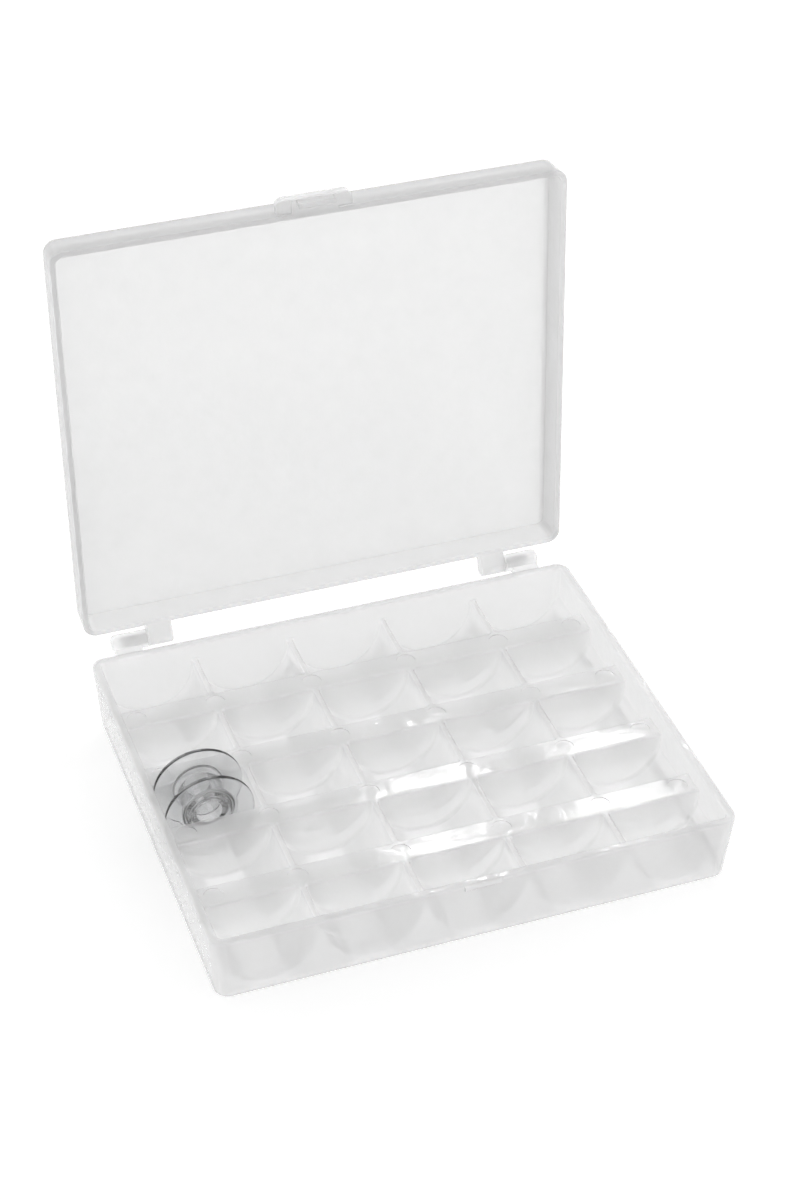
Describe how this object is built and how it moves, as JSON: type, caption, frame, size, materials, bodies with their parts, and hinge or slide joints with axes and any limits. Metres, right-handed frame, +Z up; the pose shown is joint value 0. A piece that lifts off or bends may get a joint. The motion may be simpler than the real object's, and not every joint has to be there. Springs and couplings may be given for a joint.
{
  "type": "bobbin storage box",
  "caption": "Flat hinged frosted plastic box, shown open, with a grid of round-bottomed cradles for sewing bobbins and one clear bobbin in it.",
  "frame": {"origin": "middle of the tray's base, on the surface the box stands on", "axes": "+X along the hinge to the right, +Y from the latch towards the hinge, +Z up"},
  "size_m": [0.12, 0.1194, 0.1229],
  "materials": {
    "tray": "frosted translucent natural polypropylene",
    "lid": "frosted translucent natural polypropylene",
    "bobbin": "clear polished plastic"
  },
  "bodies": {
    "tray": {"tray": "tray"},
    "lid": {"lid": "lid"},
    "bobbin": {"bobbin": "bobbin"}
  },
  "joints": [
    {"name": "lid_hinge", "type": "hinge", "parent": "tray", "child": "lid", "pos_m": [0, 0.0535, 0.0173], "axis": [1, 0, 0], "range_deg": [0, 94.25]},
    {"name": "bobbin_lift", "type": "slide", "parent": "tray", "child": "bobbin", "axis": [0, 0, 1], "range_m": [0, 0.04]}
  ]
}
